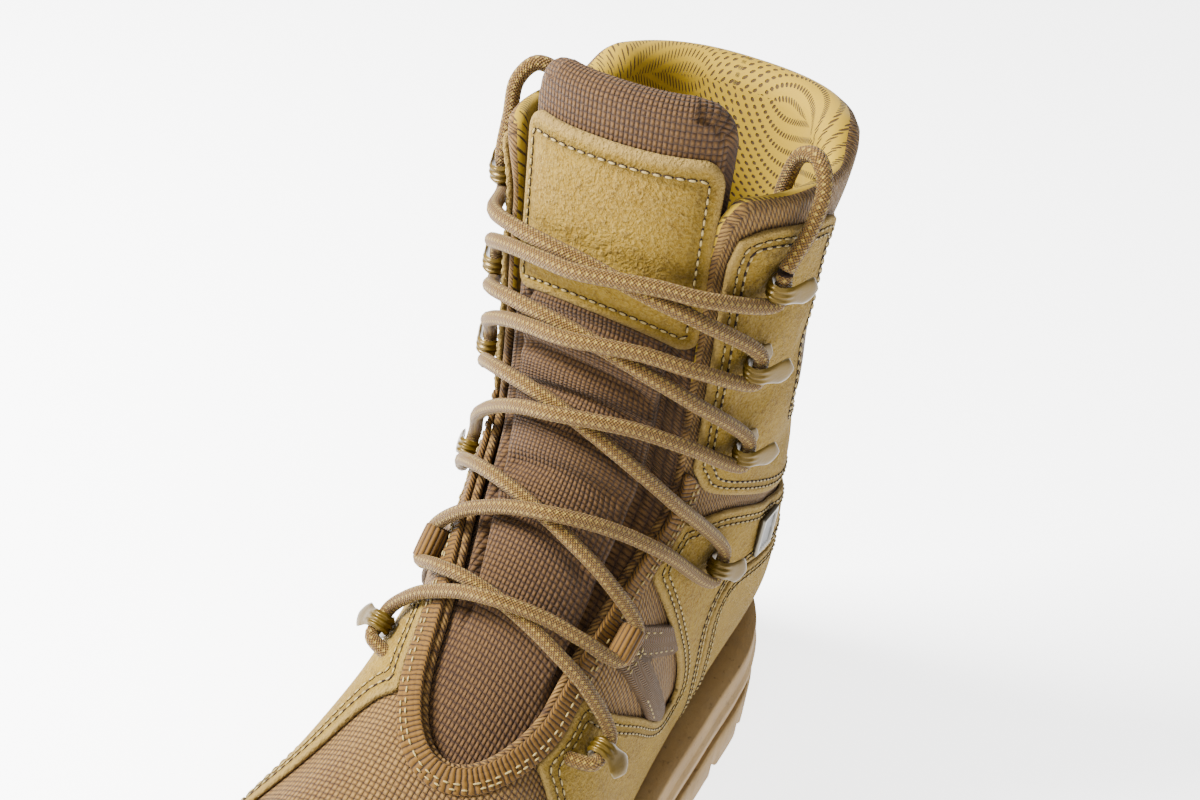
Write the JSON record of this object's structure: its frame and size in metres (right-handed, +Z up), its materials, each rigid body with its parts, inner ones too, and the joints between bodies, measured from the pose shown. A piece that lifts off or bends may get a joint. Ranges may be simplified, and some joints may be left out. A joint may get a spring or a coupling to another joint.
{
  "type": "tactical boot",
  "caption": "Left laced high boot with lugged sole, suede and woven cloth upper, padded collar and tongue, speed hooks and a round lace.",
  "frame": {"origin": "on the floor, under the middle of the sole's bounding box", "axes": "+X to the toe, +Y to the outer (lateral) side of the left foot, +Z up"},
  "size_m": [0.307, 0.1142, 0.255],
  "materials": {
    "outsole": "matt moulded rubber",
    "midsole": "matt moulded foam",
    "insole": "felted textile",
    "cordura": "coarse woven nylon",
    "suede": "napped suede",
    "webbing": "woven webbing",
    "binding": "ribbed tape",
    "tag": "satin",
    "hook": "satin coating",
    "lace": "round braid"
  },
  "bodies": {
    "root": {"outsole": "outsole", "midsole": "midsole", "insole": "insole", "upper": "cordura", "vamp": "cordura", "tongue": "cordura", "tongue_patch": "suede", "toe_guard": "suede", "heel_counter": "suede", "quarter_lateral": "suede", "quarter_medial": "suede", "eyestay_lateral": "suede", "eyestay_medial": "suede", "webbing_lateral": "webbing", "webbing_medial": "webbing", "throat_binding": "binding", "ankle_webbing": "webbing", "side_tag": "tag", "hook_lateral_1": "hook", "hook_medial_1": "hook", "hook_lateral_3": "hook", "hook_medial_3": "hook", "hook_lateral_4": "hook", "hook_medial_4": "hook", "hook_lateral_5": "hook", "hook_medial_5": "hook", "hook_lateral_6": "hook", "hook_medial_6": "hook", "lace_bar": "lace", "lace_crossing_1": "lace", "lace_crossing_2": "lace", "lace_crossing_3": "lace", "lace_crossing_4": "lace", "lace_crossing_5": "lace", "lace_end_lateral": "lace", "lace_end_medial": "lace"}
  },
  "joints": []
}
